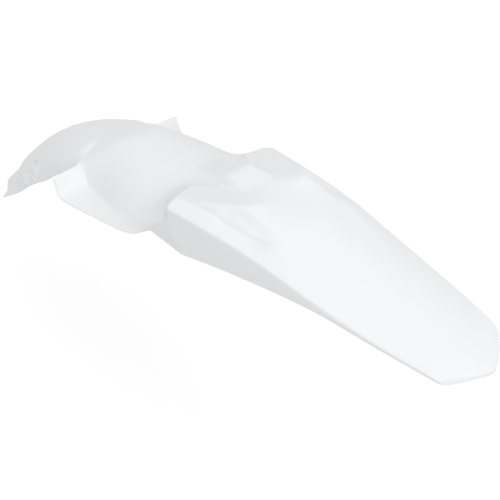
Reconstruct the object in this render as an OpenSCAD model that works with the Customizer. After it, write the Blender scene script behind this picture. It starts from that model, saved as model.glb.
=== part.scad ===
// Rear fender of an off-road motorcycle: one moulded shell, mirrored about the plane y = 0.
// X runs to the rear, Y to the vehicle's right and Z up. The sizes are measured from the
// point between the top edges of the two wings, at their front. The finished part is
// moved so that the middle of its box is at 0,0,0.

/* [Nose] */
// How far the nose reaches ahead of the wings
nose_reach = 158; // [130:1:185]
// How far the nose hangs below the wings
nose_drop = 182; // [150:1:215]
// Half width of the nose near the wings
nose_half = 70; // [62:1:76]
// Half width of the nose at its front end
nose_end_half = 61; // [54:1:68]
// Height of the crown between the wings
crown_rise = 29; // [20:1:40]
// Diameter of the two bolt holes in the nose
bolt_d = 7; // [4:0.1:9]
// Place of the bolt holes along the nose, from 0 at its end to 1 at the wings
bolt_along = 0.41; // [0.3:0.01:0.55]

/* [Wings] */
// Half width over the two wings
wing_half = 119; // [112:1:128]
// Depth of the lip along the wings' outer edge
wing_lip = 23; // [16:1:30]

/* [Arms and notch] */
// Distance of the arm tips behind the wings
arm_x = 171; // [162:1:182]
// Half width over the arm tips
arm_half = 104; // [98:1:109]
// Width of an arm at its tip
arm_tip = 19; // [12:1:24]
// Height of the arm tips
arm_z = 86; // [80:1:94]
// Distance of the notch's end behind the wings
notch_x = 254; // [244:1:266]
// Half width of the notch at its end
notch_half = 55; // [46:1:62]
// Height of the plateau behind the notch
plateau_z = 131; // [126:1:138]
// Length of the ramp below the notch's edge
ramp = 22; // [14:1:30]
// Length of the flat pad on the floor of the notch
pad_length = 38; // [28:1:48]
// Depth of the dished flank on top of each arm
arm_dish = 7; // [3:0.5:9]

/* [Tail] */
// Distance of the tail's point behind the wings
tail_x = 605; // [585:1:640]
// Height of the tail's point
tail_z = 133; // [125:1:142]
// Half width of the tail halfway along
tail_mid_half = 90; // [84:1:96]
// Half width of the tail ahead of its end corners
tail_end_half = 71; // [64:1:76]
// Depth of the rolled edge round the tail
tail_edge = 5; // [4:0.5:8]

/* [Shell] */
// Wall thickness of the moulding
wall = 2.8; // [2:0.1:3.4]

/* [Hidden] */

// A station is six points from the centre line to the free edge. c is a point of the
// centre line as x and z, k the crease and r the free edge as x, y and z.
// nose: an arch from the crown to the free edge
nose_out = [0, 0.40, 0.70, 0.88, 0.97, 1];
nose_down = [0, 0.06, 0.27, 0.52, 0.77, 1];
function nose(c, r) = [for (i = [0:5])
  [c[0] + (r[0] - c[0])*nose_down[i], r[1]*nose_out[i], c[1] + (r[2] - c[1])*nose_down[i]]];
// dome: an arch from the crown to the crease, then the skirt
dome_out = [0, 0.35, 0.63, 0.86, 1];
dome_down = [0, 0.06, 0.28, 0.60, 1];
function dome(c, k, r) = [for (i = [0:4])
  [c[0] + (k[0] - c[0])*dome_down[i], k[1]*dome_out[i], c[1] + (k[2] - c[1])*dome_down[i]], r];
// tail: a crowned top between the edges, then the side wall of depth d
function tail(c, k, d) = [
  for (s = [0, 0.4, 0.75]) [c[0] + (k[0] - c[0])*s*s, k[1]*s, c[1] + (k[2] - c[1])*s*s],
  k, k + [2, 0.6, -d/2], k + [2, 0.4, -d]];

nr = nose_reach;
nd = nose_drop;
ne = nose_end_half;
nh = nose_half;
wh = wing_half;
cr = crown_rise;
cut = arm_x - 7;
edge_z = tail_z - 7;
tl = tail_x - notch_x;
stations = [
  // lip, step behind it and body of the nose
  nose([-nr, 5 - nd], [-nr*0.83, ne + 2, 2 - nd]),
  nose([3 - nr, 16 - nd], [-nr*0.77, ne, 14 - nd]),
  nose([9 - nr, 22 - nd], [-nr*0.73, ne, 21 - nd]),
  nose([-nr*0.89, -nd*0.70], [-nr*0.585, (ne + nh)/2 - 1, -nd*0.715]),
  nose([-nr*0.785, -nd*0.50], [-nr*0.47, nh - 3, -nd*0.57]),
  nose([-nr*0.615, -nd*0.255], [-nr*0.335, nh - 1, -nd*0.425]),
  nose([-nr*0.36, cr - 36], [-nr*0.19, nh + 3, -nd*0.236]),
  // flare ahead of the wings and the wings' front edge
  [[-14, 0, cr - 8], [-14, 28, cr - 10], [-14, 50, cr - 17], [-16, 66, 4], [-18, 83, -4], [-15, wh - 18, -4]],
  [[0, 0, cr + 1], [0, 28, cr - 1], [-3, 50, cr - 12], [-3, 66, 6], [-1, 76, 2], [0, wh, 0]],
  // dome and wings
  [[18, 0, cr + 14], [18, 30, cr + 11], [15, 54, cr - 4], [13, 69, 12], [13, 78, -3], [8, wh, 8 - wing_lip]],
  dome([40, cr + 25], [32, 86, -11], [22, wh, -wing_lip]),
  dome([88, cr + 39], [86, 98, 4], [84, wh - 5, 15 - wing_lip]),
  dome([150, cr + 58], [133, 101, 26], [136, wh - 9, 33 - wing_lip]),
  // foot of the ramp round the notch
  [[notch_x - ramp, 0, plateau_z - 9], [notch_x - ramp, 24, plateau_z - 9], [cut, 48, arm_z + 6],
   [cut - 1, arm_half - 19, arm_z - 6], [cut + 6, arm_half - 3, arm_z - 31], [cut - 8, arm_half - 6, arm_z - 60]],
  // edge of the notch, arm tips and front edge of the side walls
  [[notch_x + 8, 0, plateau_z - 3], [notch_x, notch_half, plateau_z], [arm_x - 2, arm_half - arm_tip, arm_z + 5],
   [arm_x + 2, arm_half, arm_z], [arm_x + 11, arm_half, arm_z - 26], [arm_x + 45, arm_half - 1, arm_z - 49]],
  // tail
  [[notch_x + tl*0.188, 0, plateau_z + 5], [notch_x + tl*0.16, notch_half + 13, plateau_z - 3],
   [notch_x + tl*0.131, notch_half + 21, plateau_z - 9], [notch_x + tl*0.103, arm_half - 6, arm_z + 22],
   [notch_x + tl*0.109, arm_half - 5, arm_z - 1], [notch_x + tl*0.109, arm_half - 5, arm_z - 18]],
  tail([notch_x + tl*0.473, tail_z + 3], [notch_x + tl*0.416, tail_mid_half, edge_z - 11], 13),
  tail([notch_x + tl*0.7, tail_z + 2], [notch_x + tl*0.672, tail_mid_half - 10, edge_z - 5], 6),
  tail([tail_x - 45, tail_z + 1], [tail_x - 60, tail_end_half, edge_z], tail_edge),
  // end of the tail and the lower line of its rolled edge
  [[tail_x - 2, 0, tail_z], [tail_x - 12, 25, tail_z - 2], [tail_x - 24, tail_end_half - 26, tail_z - 4],
   [tail_x - 38, tail_end_half - 6, edge_z], [tail_x - 36, tail_end_half - 5.5, edge_z - 2],
   [tail_x - 36, tail_end_half - 6, edge_z - tail_edge]],
  [[tail_x, 0, tail_z - 5], [tail_x - 9, 25, tail_z - 7], [tail_x - 21, tail_end_half - 24, tail_z - 11],
   [tail_x - 32, tail_end_half - 7, edge_z - 6], [tail_x - 32, tail_end_half - 7, edge_z - 7],
   [tail_x - 32, tail_end_half - 7, edge_z - 8]]
];
last = len(stations) - 1;
// stations where the surface folds along its length; it runs on smoothly over the others
fold_at = [0, 1, 2, 13, 14, 19, 20];
// the fold of the wings' front edge fades out up the dome's flank
wing_fold = [1, 1, 0.4, 0, 0, 0];
along = [for (j = [0:5]) [for (s = [0:last])
  s == 8 ? wing_fold[j] : len(search(s, fold_at)) > 0 || (s == 7 && j > 3) ? 0 : 1]];
// cells from each station to the next, and from each of its points to the next
cells_u = [1, 1, 3, 3, 3, 3, 3, 2, 2, 2, 4, 4, 5, 2, 5, 5, 5, 4, 2, 1];
cells_v = [6, 5, 4, 4, 3];

// cubic through p[k] and p[k + 1]; a weight of 0 makes a fold at that point
function lead(p, k, w, h) = k == 0 || k == len(p) - 1 ? w*(p[min(k + 1, len(p) - 1)] - p[max(k - 1, 0)])
  : w*h*(p[k + 1] - p[k - 1])/(norm(p[k + 1] - p[k]) + norm(p[k] - p[k - 1]));
function curve(p, w, k, t) = let(h = norm(p[k + 1] - p[k]), a = lead(p, k, w[k], h), b = lead(p, k + 1, w[k + 1], h))
  (2*t*t*t - 3*t*t + 1)*p[k] + (t*t*t - 2*t*t + t)*a + (3*t*t - 2*t*t*t)*p[k + 1] + (t*t*t - t*t)*b;
lines = [for (j = [0:5]) [for (s = [0:last]) stations[s][j]]];
rows = [for (s = [0:last - 1]) for (i = [0:cells_u[s] - 1]) [for (j = [0:5]) curve(lines[j], along[j], s, i/cells_u[s])],
        stations[last]];
place = [for (s = [0:last - 1]) for (i = [0:cells_u[s] - 1]) s + i/cells_u[s], last];
// across a station the dome is an arch, and the tail folds at its shoulder
function across(s) = [1, 1, s == 13 || s == 14 ? 0 : 1, s > 12 ? 0 : 1, 0, 0];
function blend(k) = let(a = across(floor(k)), b = across(ceil(k))) a + (b - a)*(k - floor(k));
function flip(p) = [p[0], -p[1], p[2]];
function half_row(i) = let(p = concat([flip(rows[i][1])], rows[i]), w = concat([1], blend(place[i])))
  [for (j = [0:4]) for (c = [0:cells_v[j] - 1]) curve(p, w, j + 1, c/cells_v[j]), rows[i][5]];
// the raised pad on the notch's floor: a flat top behind a steeper run up the dome
function step(t) = let(u = min(max(t, 0), 1)) u*u*(3 - 2*u);
function pad(p) = let(d = notch_x - ramp - p[0], top = plateau_z - 9 - d*0.14 - 0.5*max(d - pad_length, 0))
  d < 0 || p[0] < arm_x - 55 ? 0 : max(top - p[2], 0)*step((35 - d/6 - abs(p[1]))/10);
// the dished flank between the plateau and the outer part of each arm
function dish(p) = arm_dish*step((p[0] - arm_x - 45)/35)*step((notch_x + 68 - p[0])/35)
  *step((abs(p[1]) - notch_half - 2 - 0.35*max(notch_x - p[0], 0))/11)*step((arm_half - 4 - abs(p[1]))/28);
function formed(p) = p + [0, 0, pad(p) - dish(p)];
halves = [for (i = [0:len(rows) - 1]) [for (p = half_row(i)) formed(p)]];
nu = len(halves);
nhalf = len(halves[0]);
nv = 2*nhalf - 1;
outer = [for (i = [0:nu - 1]) [for (j = [0:nv - 1])
  j < nhalf - 1 ? flip(halves[i][nhalf - 1 - j]) : halves[i][j - nhalf + 1]]];
// the inner face lies one wall thickness below the outer one
function normal(i, j) = let(n = cross(outer[min(i + 1, nu - 1)][j] - outer[max(i - 1, 0)][j],
                                      outer[i][min(j + 1, nv - 1)] - outer[i][max(j - 1, 0)])) n/norm(n);
inner = [for (i = [0:nu - 1]) [for (j = [0:nv - 1]) outer[i][j] - wall*normal(i, j)]];

// faces between two neighbouring rows of points, wound to face outwards
skin = nu*nv;
function at(i, j) = i*nv + j;
function quad(a, b, c, d) = [[a, b, c], [a, c, d]];
faces = [
  for (i = [0:nu - 2]) for (j = [0:nv - 2]) each quad(at(i, j), at(i, j + 1), at(i + 1, j + 1), at(i + 1, j)),
  for (i = [0:nu - 2]) for (j = [0:nv - 2])
    each quad(skin + at(i, j), skin + at(i + 1, j), skin + at(i + 1, j + 1), skin + at(i, j + 1)),
  for (i = [0:nu - 2]) each quad(at(i, 0), at(i + 1, 0), skin + at(i + 1, 0), skin + at(i, 0)),
  for (i = [0:nu - 2]) each quad(at(i + 1, nv - 1), at(i, nv - 1), skin + at(i, nv - 1), skin + at(i + 1, nv - 1)),
  for (j = [0:nv - 2]) each quad(at(0, j + 1), at(0, j), skin + at(0, j), skin + at(0, j + 1)),
  for (j = [0:nv - 2])
    each quad(at(nu - 1, j), at(nu - 1, j + 1), skin + at(nu - 1, j + 1), skin + at(nu - 1, j))
];
// the smooth surface itself: k is a station number and m a point number, both with parts
function skin_at(k, m) = let(r = [for (j = [0:5]) curve(lines[j], along[j], floor(k), k - floor(k))])
  curve(concat([flip(r[1])], r), concat([1], blend(k)), floor(m) + 1, m - floor(m));
// bolt holes square to the flanks of the nose
bolt_k = 2 + 6*bolt_along;
bolt_at = skin_at(bolt_k, 2.65);
bolt_turn = cross(skin_at(bolt_k + 0.1, 2.65) - skin_at(bolt_k - 0.1, 2.65),
                  skin_at(bolt_k, 2.75) - skin_at(bolt_k, 2.55));
module nose_bores()
  for (s = [-1, 1]) scale([1, s, 1]) translate(bolt_at)
    rotate([0, acos(bolt_turn[2]/norm(bolt_turn)), atan2(bolt_turn[1], bolt_turn[0])])
      cylinder(d = bolt_d, h = 24, center = true, $fn = 48);
// the frame's origin is the middle of the whole fender
middle = [(tail_x - nose_reach)/2, 0, (plateau_z + 6 - nose_drop)/2];
module rear_fender() color([0.93, 0.93, 0.94]) translate(-middle) difference() {
  polyhedron([for (r = outer) each r, for (r = inner) each r], faces, convexity = 10);
  nose_bores();
}

rear_fender();
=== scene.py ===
# %% [markdown]
# # Rear fender of an off-road motorcycle
# One moulded plastic shell, about 760 mm long and under 3 mm thick. It has a curved nose in front, an
# arched middle with a wing on each side, two arms round a notch for the seat, and a long crowned tail. The
# CAD model gives the frame, so every size here is in its millimetres and turned into metres at the end.

# %% Tools and frame
import math
import bpy
import bmesh
import numpy as np
from mathutils import Matrix, Vector


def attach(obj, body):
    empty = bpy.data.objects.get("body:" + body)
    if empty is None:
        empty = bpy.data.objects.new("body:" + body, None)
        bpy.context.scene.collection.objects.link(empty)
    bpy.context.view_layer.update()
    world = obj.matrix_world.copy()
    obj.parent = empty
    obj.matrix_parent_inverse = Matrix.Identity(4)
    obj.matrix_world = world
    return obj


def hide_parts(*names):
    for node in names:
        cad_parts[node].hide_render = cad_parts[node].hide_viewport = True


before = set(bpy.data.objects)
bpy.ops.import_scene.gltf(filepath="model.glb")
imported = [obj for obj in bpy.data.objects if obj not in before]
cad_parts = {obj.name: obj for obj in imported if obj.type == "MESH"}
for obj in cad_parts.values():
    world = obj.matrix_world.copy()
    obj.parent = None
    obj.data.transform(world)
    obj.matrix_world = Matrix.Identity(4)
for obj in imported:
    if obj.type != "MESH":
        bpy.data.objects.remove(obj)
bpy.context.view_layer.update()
MM = 0.001

# %% [markdown]
# ## Main sizes
# The names are those of the CAD source, so a size is read the same way in both. The shell could also be
# modelled freely and scaled, but then no size could be set by itself. The sizes start at the point between
# the wings' front edges, and `MIDDLE` moves the finished mesh to the frame's own origin.

# %% Main sizes
NOSE_REACH, NOSE_DROP, NOSE_HALF, NOSE_END_HALF, CROWN_RISE = 158, 182, 70, 61, 29
WING_HALF, WING_LIP = 119, 23
ARM_X, ARM_HALF, ARM_TIP, ARM_Z, ARM_DISH = 171, 104, 19, 86, 7
NOTCH_X, NOTCH_HALF, PLATEAU_Z, RAMP, PAD_LENGTH = 254, 55, 131, 22, 38
TAIL_X, TAIL_Z, TAIL_MID_HALF, TAIL_END_HALF, TAIL_EDGE = 605, 133, 90, 71, 5
WALL, BOLT_D, BOLT_ALONG = 2.8, 7, .41
RAMP_FOOT = PLATEAU_Z - 9  # height of the ramp's front end
TOP_RISE = 6  # the tail's highest line lies this far above the plateau's rim
MIDDLE = np.array([(TAIL_X - NOSE_REACH)/2, 0, (PLATEAU_Z + TOP_RISE - NOSE_DROP)/2])
print("length", TAIL_X + NOSE_REACH, "mm, width", 2*WING_HALF, "mm")

# %% [markdown]
# ## Stations
# A shell like this is drawn as cross sections, called stations. Each has six points from the centre line to
# the free edge. Three small rules make most of them: an arch for the nose, an arch with a skirt for the
# dome, and a crowned top with a side wall for the tail. The few stations at the wings and the notch are
# listed one by one, because there the sections follow an edge instead of a straight cut. Box modelling under
# a subdivision surface would do too, but a station keeps its true place when a size changes.

# %% Rules for a station
def arch(crown, rim, out, down):
    """Points from the crown (x, z) to the rim (x, y, z), at these shares of the way out and down."""
    return [(crown[0] + (rim[0] - crown[0])*d, rim[1]*o, crown[1] + (rim[2] - crown[1])*d)
            for o, d in zip(out, down)]

def nose(crown, rim):
    """An arch from the crown to the free edge."""
    return arch(crown, rim, (0, .40, .70, .88, .97, 1), (0, .06, .27, .52, .77, 1))

def dome(crown, crease, rim, out=(0, .35, .63, .86, 1), down=(0, .06, .28, .60, 1)):
    """An arch from the crown to the crease, then a skirt down to the free edge."""
    return arch(crown, crease, out, down) + [rim]

def tail(crown, edge, depth):
    """A crowned top out to the edge (x, y, z), then a side wall of that depth."""
    x, y, z = edge
    top = [(crown[0] + (x - crown[0])*s*s, y*s, crown[1] + (z - crown[1])*s*s) for s in (0, .4, .75)]
    return top + [edge, (x + 2, y + .6, z - depth/2), (x + 2, y + .4, z - depth)]

def from_nose_end(*points):
    """Points that are measured from the foremost and lowest corner of the nose."""
    return [(x - NOSE_REACH, y, z - NOSE_DROP) for x, y, z in points]

print("an arch has", len(nose((0, 1), (0, 1, 0))), "points")

# %% Stations of the nose and the wings
reach, drop, rise, wing = NOSE_REACH, NOSE_DROP, CROWN_RISE, WING_HALF
front_stations = [
    # the free end: a flat-topped hat with a foot on each side
    from_nose_end((3, 0, 4), (2, 25, 4), (4, 35, 3), (13, 44, 2), (20, 50, 2), (26, NOSE_END_HALF + 3, 2)),
    # the same end farther back, then its root inside the step
    from_nose_end((14, 0, 32), (14, 24, 32), (19, 38, 31), (30, 49, 29), (38, 54, 28),
                  (49, NOSE_END_HALF, 28)),
    from_nose_end((22, 0, 51), (24, 23, 51), (33, 41, 51), (45, 52.5, 51), (56, 58.5, 51),
                  (65, NOSE_END_HALF + 1, 51)),
    # the body of the nose
    nose((-reach*.89, -drop*.70), (-reach*.585, (NOSE_END_HALF + NOSE_HALF)/2 - 1, -drop*.715)),
    nose((-reach*.785, -drop*.50), (-reach*.47, NOSE_HALF - 3, -drop*.57)),
    nose((-reach*.615, -drop*.255), (-reach*.335, NOSE_HALF - 1, -drop*.425)),
    nose((-reach*.36, rise - 36), (-reach*.19, NOSE_HALF + 3, -drop*.236)),
    # the riser under the wings' front edges, those edges, and the start of the dome
    [(-14, 0, rise - 8), (-14, 28, rise - 10), (-14, 50, rise - 17), (-14, 64, 0), (-12, 76, -20),
     (-14, 84, -33)],
    [(0, 0, rise + 1), (0, 28, rise - 1), (-3, 52, rise - 15), (-3, 67, 5), (-1, 76, 2), (0, wing, 0)],
    [(18, 0, rise + 14), (18, 30, rise + 11), (15, 53, rise - 3), (13, 68, 12), (14, 76, -2),
     (8, wing, 8 - WING_LIP)],
    dome((40, rise + 25), (33, 82, -6), (22, wing, -WING_LIP)),
    dome((88, rise + 39), (86, 94, 9), (84, wing - 5, 15 - WING_LIP)),
    # the last arch before the notch; its points lie nearer the middle, where the foot of the ramp begins
    dome((150, rise + 58), (133, 101, 26), (136, wing - 9, 33 - WING_LIP),
         out=(0, .28, .48, .76, 1), down=(0, .036, .14, .44, 1)),
]
print(len(front_stations), "stations up to the notch")

# %% Stations of the notch and the tail
cut = ARM_X - 7  # the line across which the arms leave the dome
edge_z = TAIL_Z - 7  # height of the tail's edge near its end
run = TAIL_X - NOTCH_X  # length of the tail behind the notch
rear_stations = [
    # the ramp's foot and the arms' front ends, then the notch's rear edge and the arm tips
    [(NOTCH_X - RAMP, 0, RAMP_FOOT), (NOTCH_X - RAMP, 24, RAMP_FOOT), (cut, 48, ARM_Z + 6),
     (cut - 1, ARM_HALF - 19, ARM_Z - 6), (cut + 6, ARM_HALF - 3, ARM_Z - 31),
     (cut - 8, ARM_HALF - 6, ARM_Z - 60)],
    [(NOTCH_X + 8, 0, PLATEAU_Z - 3), (NOTCH_X, NOTCH_HALF, PLATEAU_Z),
     (ARM_X - 2, ARM_HALF - ARM_TIP, ARM_Z + 5), (ARM_X + 2, ARM_HALF, ARM_Z),
     (ARM_X + 11, ARM_HALF, ARM_Z - 26), (ARM_X + 45, ARM_HALF - 1, ARM_Z - 49)],
    # the plateau, with the arms running out beside it
    [(NOTCH_X + run*.188, 0, PLATEAU_Z + 5), (NOTCH_X + run*.16, NOTCH_HALF + 13, PLATEAU_Z - 3),
     (NOTCH_X + run*.131, NOTCH_HALF + 21, PLATEAU_Z - 9), (NOTCH_X + run*.103, ARM_HALF - 6, ARM_Z + 22),
     (NOTCH_X + run*.109, ARM_HALF - 5, ARM_Z - 1), (NOTCH_X + run*.109, ARM_HALF - 5, ARM_Z - 18)],
    # the crowned tail, then its rounded corners and its point
    tail((NOTCH_X + run*.473, TAIL_Z + 3), (NOTCH_X + run*.416, TAIL_MID_HALF, edge_z - 11), 13),
    tail((NOTCH_X + run*.7, TAIL_Z + 2), (NOTCH_X + run*.672, TAIL_MID_HALF - 10, edge_z - 5), 6),
    tail((TAIL_X - 45, TAIL_Z + 1), (TAIL_X - 60, TAIL_END_HALF, edge_z), TAIL_EDGE),
    [(TAIL_X - 2, 0, TAIL_Z), (TAIL_X - 12, 25, TAIL_Z - 2), (TAIL_X - 24, TAIL_END_HALF - 26, TAIL_Z - 4),
     (TAIL_X - 39, TAIL_END_HALF - 4.5, edge_z), (TAIL_X - 38.5, TAIL_END_HALF - 4.2, edge_z - 2),
     (TAIL_X - 39, TAIL_END_HALF - 4.7, edge_z - TAIL_EDGE)],
    [(TAIL_X, 0, TAIL_Z - 5), (TAIL_X - 9, 25, TAIL_Z - 7), (TAIL_X - 20.5, TAIL_END_HALF - 24, TAIL_Z - 11),
     (TAIL_X - 29, TAIL_END_HALF - 11, edge_z - 5.5), (TAIL_X - 33.5, TAIL_END_HALF - 8.5, edge_z - 6),
     (TAIL_X - 37, TAIL_END_HALF - 7, edge_z - 6.5)],
]
stations = np.array(front_stations + rear_stations, float)
print(len(stations), "stations of", len(stations[0]), "points")

# %% [markdown]
# ## Curves through the stations
# A cubic runs through the points. Its weight at a point is 1 where the surface goes on smoothly and 0 where
# it folds, so one formula makes both the round dome and the crisp shoulder of the tail. Creases on a
# subdivision surface could do the same, but that surface shrinks away from its points, and this one passes
# through them.

# %% One cubic for every direction
def lead(points, k, weight, length):
    """The direction in which the curve passes point k, scaled to a cell of this length."""
    last = len(points) - 1
    if k in (0, last):
        return weight*(points[min(k + 1, last)] - points[max(k - 1, 0)])
    both = np.linalg.norm(points[k + 1] - points[k]) + np.linalg.norm(points[k] - points[k - 1])
    return weight*length*(points[k + 1] - points[k - 1])/both

def curve(points, weights, k, t):
    """The place at share t of the way from point k to the next one."""
    length = np.linalg.norm(points[k + 1] - points[k])
    a, b = lead(points, k, weights[k], length), lead(points, k + 1, weights[k + 1], length)
    return (2*t**3 - 3*t*t + 1)*points[k] + (t**3 - 2*t*t + t)*a \
        + (3*t*t - 2*t**3)*points[k + 1] + (t**3 - t*t)*b

straight = np.array([[0.], [10.], [20.]])
print("half way along a straight cell of 10:", curve(straight, (1, 1, 1), 0, .5))

# %% Cells and folds
FINE = 4  # cells here for each cell of the CAD model
CELLS_ALONG = [FINE*n for n in (3, 3, 1, 5, 5, 3, 3, 2, 2, 2, 4, 4, 5, 2, 5, 5, 4, 4, 2, 1)]
CELLS_ACROSS = [FINE*n for n in (6, 5, 4, 4, 3)]
# numbers of stations: the nose's step, the wings' front edges, the two round the notch, the tail's corners
STEP_AT, WING_FRONT, NOTCH, CORNERS = 2, 8, (13, 14), (19, 20)
FOLD_AT = (0, STEP_AT, 3, *NOTCH, *CORNERS)
WING_FOLD = (1, .9, .1, 0, 0, 0)

def fold_along(j, s):
    """The weight at point j of station s, for the curves along the fender."""
    if s == WING_FRONT:
        return WING_FOLD[j]
    return 0 if s in FOLD_AT or (s == WING_FRONT - 1 and j > 2) else 1

def folds_across(s):
    """The weights of the six points of station s, for the curve across the fender."""
    last = 1 if s in CORNERS else 0  # the tail's corners are round
    return np.array([1, 1, 0 if s in NOTCH else 1, last if s >= NOTCH[0] else 1, last, 0], float)

print(sum(CELLS_ALONG), "cells along,", sum(CELLS_ACROSS), "across each half")

# %% [markdown]
# ## Pad and dished arms
# A raised pad lies on the floor of the notch, and the top of each arm is dished between the plateau and its
# outer part. They could be modelled as patches and joined on. Here they are heights that are added to the
# surface, because a smooth formula fades to nothing at its border and leaves no seam.

# %% Pad and dished arms
PAD_SLOPE, RUN_UP = .14, .5  # the fall of its top to the front, and what the run up the dome adds
PAD_HALF, PAD_SIDE, PAD_TAPER = 35, 10, 6  # half width, width of the sloping side, length for 1 mm of taper
PAD_FRONT = ARM_X - 55
DISH_START, DISH_END, DISH_FADE = 45, 68, 35  # behind the arm tips, behind the notch's edge, the fade at both
DISH_IN, DISH_OUT, DISH_SPREAD = 2, 4, .35  # off the plateau, off the arm's outer edge, spread to the front
DISH_IN_FADE, DISH_OUT_FADE = 11, 28

def step(t):
    """A smooth rise from 0 to 1 while t goes from 0 to 1."""
    u = np.clip(t, 0, 1)
    return u*u*(3 - 2*u)

def pad(x, y, z):
    """How far the pad lifts a point: a flat top behind a steeper run up the dome."""
    d = NOTCH_X - RAMP - x
    top = RAMP_FOOT - d*PAD_SLOPE - RUN_UP*np.maximum(d - PAD_LENGTH, 0)
    lift = np.maximum(top - z, 0)*step((PAD_HALF - d/PAD_TAPER - abs(y))/PAD_SIDE)
    return np.where((d < 0) | (x < PAD_FRONT), 0, lift)

def dish(x, y):
    """How far a point on top of an arm is dished."""
    inner = NOTCH_HALF + DISH_IN + DISH_SPREAD*np.maximum(NOTCH_X - x, 0)
    depth = ARM_DISH*step((x - ARM_X - DISH_START)/DISH_FADE)*step((NOTCH_X + DISH_END - x)/DISH_FADE)
    return depth*step((abs(y) - inner)/DISH_IN_FADE)*step((ARM_HALF - DISH_OUT - abs(y))/DISH_OUT_FADE)

print("the pad's front end is at x", PAD_FRONT)

# %% [markdown]
# ## The grid
# The curves are sampled into a grid of points over one half, and the other half is its mirror. Geometry
# Nodes can loft curves too. A plain array of points was chosen, because the next steps measure it line by
# line.

# %% The grid of one half, then its mirror
flip = np.array([1, -1, 1])
points_across = len(stations[0])
folds = [[fold_along(j, s) for s in range(len(stations))] for j in range(points_across)]

def section(k):
    """The section at station number k, which may have a fraction, and its fold weights."""
    s = min(math.floor(k), len(stations) - 2)
    row = [curve(stations[:, j], folds[j], s, k - s) for j in range(points_across)]
    a, b = folds_across(math.floor(k)), folds_across(math.ceil(k))
    return [row[1]*flip, *row], [1, *(a + (b - a)*(k - math.floor(k)))]

places = [s + i/n for s, n in enumerate(CELLS_ALONG) for i in range(n)] + [len(stations) - 1]
half = []
for k in places:
    row, weights = section(k)
    cells = [curve(row, weights, j + 1, c/n) for j, n in enumerate(CELLS_ACROSS) for c in range(n)]
    half.append(cells + [row[-1]])
half = np.array(half)
x, y, z = np.moveaxis(half.copy(), -1, 0)
half[..., 2] += pad(x, y, z) - dish(x, y)
grid = np.concatenate([half[:, :0:-1]*flip, half], axis=1)
print("grid", grid.shape[0], "by", grid.shape[1])

# %% Station and point number of each place in the grid
station = np.array(places)[:, None]
half_point = np.interp(np.arange(half.shape[1]), np.cumsum([0, *CELLS_ACROSS]), range(points_across))
point = np.concatenate([half_point[:0:-1], half_point])[None, :]
print("stations 0 to", station.max(), "and points 0 to", point.max())

# %% [markdown]
# ## Rounding the folds
# Moulded plastic has no knife edges. First the foot of the ramp is settled, so that the floor of the notch
# runs smoothly into it. Then each grid line is averaged over a few millimetres of its own length. A Bevel
# modifier rounds folds too, but not one that fades into a smooth surface, as these do. Because the reach is
# a length and not a number of cells, every fold gets about the same radius and the broad surfaces stay as
# they are.

# %% Settle the foot of the ramp
FOOT_STATIONS, FOOT_POINTS, FOOT_FADE = (12.1, 12.99), (1.05, 2.45), .3

def settle(g, share, times):
    """Moves each point this share of the way to the middle of its four neighbours, again and again."""
    for _ in range(times):
        middle = g.copy()
        middle[1:-1, 1:-1] = (g[:-2, 1:-1] + g[2:, 1:-1] + g[1:-1, :-2] + g[1:-1, 2:])/4
        g = g + share[..., None]*(middle - g)
    return g

foot = step((station - FOOT_STATIONS[0])/FOOT_FADE)*(station < FOOT_STATIONS[1]) \
    *step((point - FOOT_POINTS[0])/FOOT_FADE)*step((FOOT_POINTS[1] - point)/FOOT_FADE)
sharp = grid
grid = settle(grid, foot, times=200)
print("settled by up to", round(float(np.abs(grid - sharp).max()), 1), "mm")

# %% Round the folds
FOLD_REACH = 1.8  # millimetres

def soften(g, reach, spare=60):
    """Averages each grid line over this reach in millimetres; past its ends the line is turned over."""
    for axis in (1, 0):
        lines = np.moveaxis(g, axis, 1)
        n = min(spare, lines.shape[1] - 1)
        before, after = 2*lines[:, :1] - lines[:, n:0:-1], 2*lines[:, -1:] - lines[:, -2:-2 - n:-1]
        long = np.concatenate([before, lines, after], axis=1)
        gaps = np.linalg.norm(np.diff(long, axis=1), axis=2)
        at = np.concatenate([np.zeros((len(lines), 1)), np.cumsum(gaps, axis=1)], axis=1)
        own = np.gradient(at, axis=1)
        out = np.empty_like(lines)
        for i in range(len(lines)):
            w = np.exp(-.5*((at[i, n:-n, None] - at[i, None, :])/reach)**2)*own[i]
            out[i] = w @ long[i]/w.sum(axis=1, keepdims=True)
        g = np.moveaxis(out, 1, axis)
    return g

sharp = grid
grid = soften(grid, FOLD_REACH)
print("folds rounded by up to", round(float(np.abs(grid - sharp).max()), 1), "mm")

# %% [markdown]
# ## Small forms
# Low on each flank of the nose a strap seat is moulded in: two upright beads, and a finer bead along the
# top. The bolt hole sits in a shallow dimple. The front edge of each wing has a chamfer that widens
# outwards. Bump in the material would only shade such forms, so they are real height, moved out along the
# surface's own normal. Station and point numbers place the seat and the chamfer, so they follow the
# surface.

# %% Helpers for small forms
def unit(v):
    return v/np.maximum(np.linalg.norm(v, axis=-1, keepdims=True), 1e-9)

def face_normals(g):
    """The normal at each point of the grid, pointing out of the shell."""
    n = unit(np.cross(np.gradient(g, axis=0), np.gradient(g, axis=1)))
    return -n if n[len(n)//2, g.shape[1]//2, 2] < 0 else n

def bead(t, width):
    return np.exp(-(t/width)**2)

def ridge(t, rise, fall, height):
    """A bead with a steep front and a long rear slope."""
    return height*step((t + rise)/rise)*step((fall - t)/fall)

def skin_at(k, m):
    """The smooth surface at station number k and point number m, both with fractions."""
    row, weights = section(k)
    return curve(row, weights, math.floor(m) + 1, m - math.floor(m))

print("the crown over the wings is at", skin_at(WING_FRONT, 0).round(1))

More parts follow.
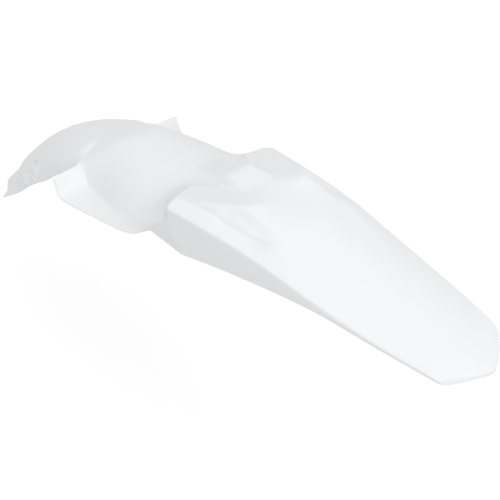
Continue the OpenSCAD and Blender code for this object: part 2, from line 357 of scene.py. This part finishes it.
# %% Place and direction of the bolt
BOLT_POINT, NEAR = 2.65, .1
bolt_k = STEP_AT + (WING_FRONT - STEP_AT)*BOLT_ALONG
bolt_at = skin_at(bolt_k, BOLT_POINT)
along_skin = skin_at(bolt_k + NEAR, BOLT_POINT) - skin_at(bolt_k - NEAR, BOLT_POINT)
across_skin = skin_at(bolt_k, BOLT_POINT + NEAR) - skin_at(bolt_k, BOLT_POINT - NEAR)
bolt_axis = unit(np.cross(along_skin, across_skin))
print("bolt at", bolt_at.round(1), "along", bolt_axis.round(2))

# %% Strap seat, dimple and chamfer
FRONT_BEAD, REAR_BEAD, TOP_BEAD = 2.2, 2.6, 1.4  # heights in millimetres
FRONT_SHAPE, REAR_SHAPE = (.16, .3), (.18, .4)  # steep front and long rear slope, as shares of the seat
SEAT_TOP, TOP_BEAD_AT, SEAT_LOW_END = 3.1, 3.15, 4.9  # point numbers
DIMPLE_DEPTH, DIMPLE_REACH = 1.4, 7
CHAMFER, CHAMFER_FROM = 2.8, 3.6  # height in millimetres, and the point number where it begins
CHAMFER_END, CHAMFER_FADE = 7, 6  # where the raised part behind it ends and how it fades, in chamfer widths

# the station numbers of the seat's two upright beads, which lean a little
seat_front, seat_rear = 3.65 - .07*(point - 3), 4.55 - .3*(point - SEAT_TOP)
u = (station - seat_front)/(seat_rear - seat_front)
inside = step((point - SEAT_TOP)/.25)
end = step((SEAT_LOW_END - point)/.5)
relief = (ridge(u, *FRONT_SHAPE, FRONT_BEAD) + ridge(u - 1, *REAR_SHAPE, REAR_BEAD))*inside*end \
    + TOP_BEAD*bead(point - TOP_BEAD_AT, .1)*step(u/.1)*step((1 - u)/.1)
for side in (-1, 1):
    from_bolt = np.linalg.norm(grid - bolt_at*(1, side, 1), axis=2)
    relief = relief - DIMPLE_DEPTH*bead(from_bolt, DIMPLE_REACH)
wide = .2 + .8*np.clip(point - 4, 0, 1)
t = (station - WING_FRONT)/wide
chamfer = CHAMFER*np.clip(t, 0, 1)*step((CHAMFER_END - t)/CHAMFER_FADE)*step((point - CHAMFER_FROM)/.9)
relief = relief + chamfer*(station > WING_FRONT)
# the normals are evened out, so that no bead breaks at a fold
away = unit(settle(face_normals(grid), np.ones(grid.shape[:2]), times=12))
grid = grid + relief[..., None]*away
print("relief", round(float(relief.min()), 2), "to", round(float(relief.max()), 2), "mm")

# %% [markdown]
# ## From surface to shell
# The inner face lies one wall thickness below the outer one. The free edge between them gets a half-round
# lip, because a real moulding has no square rim. Solidify would give the wall, but a square rim, and a
# bevel on it would need an edge choice by hand. The lip reaches out to the old edge, so the rows near it
# first move in.

# %% Make room for the lip
EDGE_FADE = 9  # millimetres over which the move fades out

def ways_out(g):
    """At each point of the free edge, the direction that leads straight off the surface."""
    along, across = np.gradient(g, axis=0), np.gradient(g, axis=1)
    out = np.zeros_like(g)
    out[:, 0] -= unit(across[:, 0])
    out[:, -1] += unit(across[:, -1])
    out[0] -= unit(along[0])
    out[-1] += unit(along[-1])
    edge = np.zeros(g.shape[:2], bool)
    edge[0] = edge[-1] = edge[:, 0] = edge[:, -1] = True
    out[edge] = unit(out[edge])
    return out

def move_in(g, most):
    """Moves the rows near the free edge in, by this much at the edge itself."""
    for axis in (0, 1):
        p = np.moveaxis(g, axis, 1)
        gaps = np.linalg.norm(np.diff(p, axis=1), axis=2)
        at = np.concatenate([np.zeros((len(p), 1)), np.cumsum(gaps, axis=1)], axis=1)
        head, end = unit(p[:, 1] - p[:, 0])[:, None], unit(p[:, -2] - p[:, -1])[:, None]
        near_head = np.clip(1 - at/EDGE_FADE, 0, 1)[..., None]
        near_end = np.clip(1 - (at[:, -1:] - at)/EDGE_FADE, 0, 1)[..., None]
        g = np.moveaxis(p + most*(head*near_head + end*near_end), 1, axis)
    return g

print("the lip is", WALL/2, "mm deep")

# %% Points and quads of the shell
def edge_ring(nu, nv):
    """The places of the free edge in the grid, once round."""
    return [(i, 0) for i in range(nu)] + [(nu - 1, j) for j in range(1, nv)] + \
           [(i, nv - 1) for i in range(nu - 2, -1, -1)] + [(0, j) for j in range(nv - 2, 0, -1)]

def shell(g, wall, lip=5):
    """A closed shell: outer face, inner face and a half-round lip in this many steps."""
    out = ways_out(g)
    g = move_in(g, wall/2)
    n = face_normals(g)
    nu, nv = g.shape[:2]
    points = [*g.reshape(-1, 3), *(g - n*wall).reshape(-1, 3)]
    quads = []
    for i in range(nu - 1):
        for j in range(nv - 1):
            a, b = i*nv + j, (i + 1)*nv + j
            quads.append((a, b, b + 1, a + 1))
            a, b = a + nu*nv, b + nu*nv
            quads.append((a, a + 1, b + 1, b))
    ring = edge_ring(nu, nv)
    loops = [[i*nv + j for i, j in ring]]
    for k in range(1, lip):
        t = math.pi*k/lip
        loops.append(list(range(len(points), len(points) + len(ring))))
        points += [g[r] - n[r]*wall/2 + (n[r]*math.cos(t) + out[r]*math.sin(t))*wall/2 for r in ring]
    loops.append([nu*nv + i*nv + j for i, j in ring])
    for a, b in zip(loops, loops[1:]):
        for k in range(len(ring)):
            q = (k + 1) % len(ring)
            quads.append((a[q], a[k], b[k], b[q]))
    return np.array(points), np.array(quads)

def faced_out(points, quads):
    """The quads, turned round if the volume that they close in is negative, and that volume."""
    a, b, c, d = (points[quads[:, k]] for k in range(4))
    volume = (np.einsum("ij,ij->i", a, np.cross(b, c)) + np.einsum("ij,ij->i", a, np.cross(c, d))).sum()/6
    return (quads[:, ::-1] if volume < 0 else quads), abs(volume)

points, quads = shell(grid, WALL)
quads, volume = faced_out(points, quads)
print(f"{len(quads)} quads close in {volume/1000:.0f} cm3")

# %% Make the shell's object
def put(name, data):
    """A new object in the scene with this data."""
    obj = bpy.data.objects.new(name, data)
    bpy.context.scene.collection.objects.link(obj)
    return obj

shell_mesh = bpy.data.meshes.new("fender_shell")
shell_mesh.from_pydata((points - MIDDLE)*MM, [], quads.tolist())
shell_mesh.polygons.foreach_set("use_smooth", [True]*len(shell_mesh.polygons))
fender = put("fender_shell", shell_mesh)
print("fender", len(fender.data.polygons), "faces")

# %% [markdown]
# ## Bolt holes
# Each flank of the nose has one round hole. The grid could be bent round it, but a Boolean with a cylinder
# square to the surface cuts it as a drill would, and leaves the surface beside it alone.

# %% Cut the bolt holes
DRILL_LENGTH, DRILL_SIDES = 24, 48
for side in (-1, 1):
    centre = (bolt_at*(1, side, 1) - MIDDLE)*MM
    turn = Vector(bolt_axis*(1, side, 1)).to_track_quat("Z", "Y").to_matrix().to_4x4()
    bm = bmesh.new()
    bmesh.ops.create_cone(bm, cap_ends=True, segments=DRILL_SIDES, radius1=BOLT_D/2*MM, radius2=BOLT_D/2*MM,
                          depth=DRILL_LENGTH*MM, matrix=Matrix.Translation(Vector(centre)) @ turn)
    drill_mesh = bpy.data.meshes.new("drill")
    bm.to_mesh(drill_mesh)
    bm.free()
    drill = put("drill", drill_mesh)
    cutter = fender.modifiers.new("bolt hole", "BOOLEAN")
    cutter.operation, cutter.object, cutter.solver = "DIFFERENCE", drill, "FAST"
    plain = bpy.data.meshes.new_from_object(fender.evaluated_get(bpy.context.evaluated_depsgraph_get()))
    fender.modifiers.clear()
    fender.data = plain
    bpy.data.objects.remove(drill)
print("holes cut,", len(fender.data.polygons), "faces")

# %% [markdown]
# ## White moulded plastic
# Fender plastic is a soft-gloss polypropylene: white all through, faintly cool, with a very fine moulded
# skin. One flat colour would look like paper. A fine noise varies the gloss and gives the skin its bump,
# and a broad one lets the colour drift by a hair over the large areas. Both follow the object's own
# coordinates, so no UV map is needed.

# %% A helper for node trees
def add_node(tree, kind, values={}, **settings):
    """A new node with these settings, and these values on its inputs."""
    node = tree.nodes.new(kind)
    for name, setting in settings.items():
        setattr(node, name, setting)
    for name, value in values.items():
        node.inputs[name].default_value = value
    return node

print("node helper ready")

# %% Plastic material
COOL_WHITE, PALE_WHITE = (.885, .893, .902, 1), (.905, .91, .915, 1)
DRIFT_SCALE, SKIN_SCALE = 9, 900  # waves of noise in a metre
SKIN_HEIGHT = .0003

def plastic():
    mat = bpy.data.materials.new("white moulded plastic")
    mat.use_nodes = True
    tree = mat.node_tree
    shade = tree.nodes["Principled BSDF"]
    shade.inputs["IOR"].default_value = 1.49
    shade.inputs["Specular IOR Level"].default_value = .25
    place = add_node(tree, "ShaderNodeTexCoord")
    drift = add_node(tree, "ShaderNodeTexNoise", {"Scale": DRIFT_SCALE})
    tone = add_node(tree, "ShaderNodeMix", {"A": COOL_WHITE, "B": PALE_WHITE}, data_type="RGBA")
    skin = add_node(tree, "ShaderNodeTexNoise", {"Scale": SKIN_SCALE, "Detail": 3})
    gloss = add_node(tree, "ShaderNodeMapRange", {"To Min": .4, "To Max": .5})
    bump = add_node(tree, "ShaderNodeBump", {"Strength": .05, "Distance": SKIN_HEIGHT})
    for source, target in (
        (place.outputs["Object"], drift.inputs["Vector"]),
        (drift.outputs["Fac"], tone.inputs["Factor"]),
        (tone.outputs["Result"], shade.inputs["Base Color"]),
        (place.outputs["Object"], skin.inputs["Vector"]),
        (skin.outputs["Fac"], gloss.inputs["Value"]),
        (gloss.outputs["Result"], shade.inputs["Roughness"]),
        (skin.outputs["Fac"], bump.inputs["Height"]),
        (bump.outputs["Normal"], shade.inputs["Normal"]),
    ):
        tree.links.new(source, target)
    return mat

white = plastic()
fender.data.materials.clear()
fender.data.materials.append(white)
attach(fender, "root")
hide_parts("rear_fender")
print(white.name, "has", len(white.node_tree.nodes), "nodes")

# %% [markdown]
# ## Camera
# The photograph is taken from behind, above and to the left, with a long lens. The view is tipped with the
# fender: in the picture the tail runs down to the right. The camera could be aimed at a target, but its
# place and three turns were worked out from mirrored pairs of points on the fender, so they are set as they
# are.

# %% Camera
PICTURE, FOCAL, SENSOR = 500, 1300, 36  # width and focal length in pixels, and the sensor in millimetres
CAMERA_AT = (.5841, -1.0888, 1.2205)
TIP, SWING, LOOK_DOWN = 20, 40.446, 32.775  # degrees
cam_data = bpy.data.cameras.new("camera")
cam_data.sensor_width, cam_data.lens = SENSOR, SENSOR*FOCAL/PICTURE
camera = put("camera", cam_data)
turn = Matrix.Rotation(math.radians(-TIP), 4, "Y") @ Matrix.Rotation(math.radians(SWING), 4, "Z") @ \
    Matrix.Rotation(math.radians(90 - LOOK_DOWN), 4, "X")
camera.matrix_world = Matrix.Translation(CAMERA_AT) @ turn
bpy.context.scene.camera = camera
print("lens", round(cam_data.lens, 1), "mm")

# %% [markdown]
# ## Floor and light
# A white floor lies well below the fender. More light would whiten it, but would also wash out the fender,
# so the floor itself shines a little: for the camera, and for reflections and light that passes through. It
# still takes the shadow. The studio is a soft dome of light, brightest above and behind the fender, with
# two broad, weak lamps in it. A few strong lamps would draw hard bright spots that the photograph doesn't
# have.

# %% Floor
FLOOR_HALF, FLOOR_Z, FLOOR_GLOW = 6, -.35, .45
floor_corners = [(FLOOR_HALF*a, FLOOR_HALF*b, FLOOR_Z) for a, b in ((-1, -1), (1, -1), (1, 1), (-1, 1))]
floor_mesh = bpy.data.meshes.new("floor")
floor_mesh.from_pydata(floor_corners, [], [(0, 1, 2, 3)])
floor = put("floor", floor_mesh)
floor_mat = bpy.data.materials.new("white floor")
floor_mat.use_nodes = True
floor_mesh.materials.append(floor_mat)
print("floor", 2*FLOOR_HALF, "m wide")

# %% The floor's shine
tree = floor_mat.node_tree
base = tree.nodes["Principled BSDF"]
base.inputs["Base Color"].default_value = (.65, .65, .65, 1)
base.inputs["Roughness"].default_value = .9
base.inputs["Emission Color"].default_value = (1, 1, 1, 1)
ray = add_node(tree, "ShaderNodeLightPath")
seen = ray.outputs["Is Camera Ray"]
for kind in ("Is Glossy Ray", "Is Transmission Ray"):
    either = add_node(tree, "ShaderNodeMath", operation="MAXIMUM")
    tree.links.new(seen, either.inputs[0])
    tree.links.new(ray.outputs[kind], either.inputs[1])
    seen = either.outputs[0]
glow = add_node(tree, "ShaderNodeMath", {1: FLOOR_GLOW}, operation="MULTIPLY")
tree.links.new(seen, glow.inputs[0])
tree.links.new(glow.outputs[0], base.inputs["Emission Strength"])
print("floor shines at", FLOOR_GLOW)

# %% Dome of light
BRIGHTEST = (.417, -.313, .854)  # the direction from which most light comes
SKY_DARK, SKY_BRIGHT = .15, 1.09
world = bpy.data.worlds.new("studio")
bpy.context.scene.world = world
world.use_nodes = True
tree = world.node_tree
back = tree.nodes["Background"]
back.inputs["Color"].default_value = (1, 1, 1, 1)
way = add_node(tree, "ShaderNodeTexCoord")
dot = add_node(tree, "ShaderNodeVectorMath", {1: BRIGHTEST}, operation="DOT_PRODUCT")
fade = add_node(tree, "ShaderNodeMapRange", {"From Min": -1, "To Min": SKY_DARK, "To Max": SKY_BRIGHT})
tree.links.new(way.outputs["Generated"], dot.inputs[0])
tree.links.new(dot.outputs["Value"], fade.inputs["Value"])
tree.links.new(fade.outputs["Result"], back.inputs["Strength"])
print("sky from", SKY_DARK, "to", SKY_BRIGHT)

# %% Two weak lamps
LAMP_SIZE = 1.6

def lamp(name, place, watts):
    """A round lamp that faces the fender's middle."""
    data = bpy.data.lights.new(name, "AREA")
    data.shape, data.size, data.energy = "DISK", LAMP_SIZE, watts
    obj = put(name, data)
    obj.location = place
    obj.rotation_euler = (-Vector(place)).to_track_quat("-Z", "Y").to_euler()
    print(name, watts, "W")

lamp("rear light", (1.3, -.55, 2.06), 3)
lamp("top light", (.2, -.1, 2.5), 5)
bpy.context.scene.view_settings.view_transform = "Standard"
